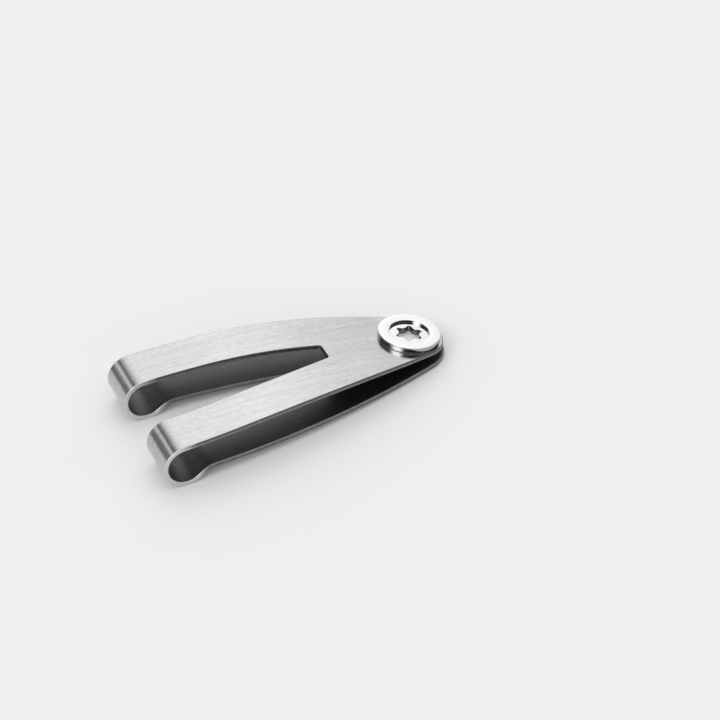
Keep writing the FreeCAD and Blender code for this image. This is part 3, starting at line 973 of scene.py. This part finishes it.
screw_steel, start, shader = finish("polished_screw", METAL)
on_wall, on_floor = marked(start, "wall"), marked(start, "floor")
marks, haze, place, _ = turned_patterns(start, SCREW_MARKS, SCREW_HAZE)
pressed_grain = noise(place, PRESSED_GRAIN, GRAIN_DETAIL)
bright = blended(mean(marks, haze), *SCREW_FACE)
pressed = blended(pressed_grain, *PRESSED)
# The socket's walls are painted near-black: painted shade in the hollow.
feed(shader, "Base Color", blended(on_floor, blended(on_wall, bright, SOCKET_WALL_SHADE), pressed))
roughness = SCREW_ROUGH + SCREW_ROUGH_MARKS * marks + SCREW_ROUGH_HAZE * haze
feed(shader, "Roughness", roughness + WALL_ROUGH * on_wall + FLOOR_ROUGH * on_floor)
feed(shader, "Metallic", 1 - FLOOR_LESS_METAL * on_floor)
feed(shader, "Normal", relief(mean(marks, pressed_grain), *POLISHED_BUMP))
dress(screw, screw_steel)

# %% [markdown]
# The foot is left satin, as it comes from the lathe and a blast of fine grit. One roughness
# all over would look like grey plastic, so marks and grit both show in the bump.

# %% The satin foot
SATIN_MARKS, SATIN_HAZE, SATIN_GRIT, GRIT_DETAIL = 0.18 * MM, 0.8 * MM, 0.06 * MM, 2.0
SATIN, SATIN_ROUGH, SATIN_ROUGH_HAZE = (0.40, 0.60), 0.3, 0.2
MARKS_SHARE, GRIT_SHARE, SATIN_BUMP = 0.6, 0.4, (0.25, 0.01 * MM)

satin, start, shader = finish("satin_steel", METAL)
marks, haze, place, _ = turned_patterns(start, SATIN_MARKS, SATIN_HAZE)
grit = noise(place, SATIN_GRIT, GRIT_DETAIL)
feed(shader, "Base Color", blended(mean(marks, haze), *SATIN))
feed(shader, "Roughness", SATIN_ROUGH + SATIN_ROUGH_HAZE * haze)
blasted = marks * MARKS_SHARE + grit * GRIT_SHARE
feed(shader, "Normal", relief(blasted, *SATIN_BUMP))
dress(foot, satin)

# %% [markdown]
# ## Camera
#
# The clip is seen from above one side, a little from the loops' end. A constraint could
# point the camera. Here it stands at a distance from its aim, in a direction given by two
# angles, and is rolled a little. A long lens keeps the near end from looking too large.

# %% Camera
AIM = Vector((9.815, -5.48, 6.75)) * MM
DISTANCE, AZIMUTH, ELEVATION, ROLL = 0.390, 20.797, 38.033, -5.034
LENS, NEAREST = 125.0, 0.01

turn, rise, roll = (math.radians(angle) for angle in (AZIMUTH, ELEVATION, ROLL))
back = Vector((-math.sin(turn) * math.cos(rise), -math.cos(turn) * math.cos(rise), math.sin(rise)))
level_right = Vector((math.cos(turn), -math.sin(turn), 0))
level_top = back.cross(level_right)
right = level_right * math.cos(roll) + level_top * math.sin(roll)
top = level_top * math.cos(roll) - level_right * math.sin(roll)
stand = AIM + back * DISTANCE
turned_to = Matrix((right, top, back)).transposed().to_4x4()
camera = placed("camera", bpy.data.cameras.new("camera"))
camera.matrix_world = Matrix.Translation(stand) @ turned_to
camera.data.lens = LENS
camera.data.clip_start = NEAREST
bpy.context.scene.camera = camera
print(f"the camera stands {stand.z / MM:.0f} mm above the floor")

# %% [markdown]
# ## Floor
#
# The clip lies on a plain white sweep, one large face. More light would make it whiter, but
# would fall on the clip too, so it glows very faintly, to the camera and in reflections
# only. A Mix Shader makes it clear from below, so that the clip shows.

# %% Floor
FLOOR_HALF = 3.0  # metres, far past what any view shows
MATT_WHITE = {
    "Base Color": (0.78, 0.78, 0.78, 1),
    "Roughness": 0.9,
    "Specular IOR Level": 0.1,
    "Emission Strength": 0.05,
}

floor_corners = np.array([(-1, -1, 0), (1, -1, 0), (1, 1, 0), (-1, 1, 0)]) * FLOOR_HALF
floor_mesh = bpy.data.meshes.new("floor")
floor_mesh.from_pydata(floor_corners.tolist(), [], [(0, 1, 2, 3)])
floor = placed("floor", floor_mesh)
sweep, start, shader = finish("white_sweep", MATT_WHITE)
to_camera = start.node("ShaderNodeLightPath", {}, {}, "Is Camera Ray")
in_metal = to_camera.beside("Is Glossy Ray")
through_glass = to_camera.beside("Is Transmission Ray")
feed(shader, "Emission Color", to_camera.larger(in_metal).larger(through_glass))
from_below = start.node("ShaderNodeNewGeometry", {}, {}, "Backfacing")
clear = start.node("ShaderNodeBsdfTransparent", {}, {})
white = Socket(start.tree, shader.outputs["BSDF"])
either = start.node("ShaderNodeMixShader", {}, {0: from_below, 1: white, 2: clear})
feed(start.tree.nodes["Material Output"], "Surface", either)
dress(floor, sweep)

# %% [markdown]
# ## Light
#
# Polished metal shows what stands round it, and lamps would show in it as small spots. Here
# the world is the studio: a white tent, open to the north, with a broad and a slim panel in
# the opening, a bright panel on the left, and a dark ring that the collar's sides mirror.
# All follow the direction in the sky, so they stay put when the camera moves. The camera
# itself sees a plain pale backdrop.

# %% Where the panels are
# A panel is given by where it starts, is whole, begins to fade and has ended. East, north
# and high run from -1 to 1, and turns are radians from the north, above zero to the east.
# The ring and the left panel's core are measured from the tip's own slope.
ARCH_EAST, ARCH_LIGHT = (-0.46, 0.10, 0.35, 1.1), 1.26
CREST_EAST, CREST_LIGHT = (0.17, 0.26, 0.26, 0.42), 0.25
OVERHEAD_NORTH, OVERHEAD_HIGH = (-0.35, -0.05), (0.12, 0.28)
SLIM_EAST, SLIM_LIGHT = (-0.57, -0.50, -0.45, -0.34), 0.9
SLIM_NORTH, SLIM_HIGH = (0.62, 0.70), (0.12, 0.2)
AROUND_NORTH, AROUND_HIGH = (0.58, 0.68), (0.03, 0.1)
RING_HIGH, RING_DARK = (0.43, 0.48, 0.62, 0.67), 0.985
RING_OPEN_TURN = (-0.50, -0.32, 0.98, 1.22)
LEFT_TURN = (-2.88, -2.22, -1.93, -1.14)
LEFT_HIGH, LEFT_LIGHT = (0.36, 0.42, 0.88, 0.93), 1.2
CORE_HIGH, CORE_LIGHT = (0.42, 0.47, 0.64, 0.70), 4.6
SHADE, NORTH_SHADE, SHADE_NORTH = 0.04, 0.18, (0.45, 0.7)
BACKDROP = 0.86


def soft_step(value, off_at, on_at):
    """A step_up with a soft step."""
    return step_up(value, off_at, on_at, "SMOOTHSTEP")


def panel(value, starts, whole, fades, ended):
    """1 inside and 0 outside, with soft steps at both ends."""
    return soft_step(value, starts, whole) * (1 - soft_step(value, fades, ended))


# %% The panels' light
world = bpy.data.worlds.new("studio")
world.use_nodes = True
start = Socket(world.node_tree)
sky = start.node("ShaderNodeTexCoord", {}, {}, "Generated")
east, north, high = sky.parts()
turned_by = start.math("ARCTAN2", east, north)
above_tip = east * tip_normal.x + high * tip_normal.z

arch = panel(east, *ARCH_EAST) * ARCH_LIGHT + panel(east, *CREST_EAST) * CREST_LIGHT
overhead = arch * soft_step(north, *OVERHEAD_NORTH) * soft_step(high, *OVERHEAD_HIGH)
slim = panel(east, *SLIM_EAST) * soft_step(north, *SLIM_NORTH) * soft_step(high, *SLIM_HIGH)
around = (1 - soft_step(north, *AROUND_NORTH)) * soft_step(high, *AROUND_HIGH)
left_side = panel(turned_by, *LEFT_TURN)
left = left_side * left_side
left_panel = left * panel(high, *LEFT_HIGH) * LEFT_LIGHT
left_core = left * left_side * panel(above_tip, *CORE_HIGH) * CORE_LIGHT
dark_ring = panel(above_tip, *RING_HIGH)
ring_sides = (1 - left) * (1 - panel(turned_by, *RING_OPEN_TURN))
shade = SHADE + NORTH_SHADE * soft_step(north, *SHADE_NORTH) * (1 - dark_ring)

open_sky = (overhead + slim * SLIM_LIGHT).larger(around) + shade
ringed = (1 - dark_ring * ring_sides * RING_DARK) * open_sky
lit = ringed.larger(left_panel).larger(left_core)
to_camera = start.node("ShaderNodeLightPath", {}, {}, "Is Camera Ray")
background = world.node_tree.nodes["Background"]
background.inputs["Color"].default_value = (1, 1, 1, 1)
feed(background, "Strength", lit * (1 - to_camera) + to_camera * BACKDROP)
bpy.context.scene.world = world
bpy.context.scene.view_settings.view_transform = "Standard"
print(f"the studio has {len(world.node_tree.nodes)} nodes")
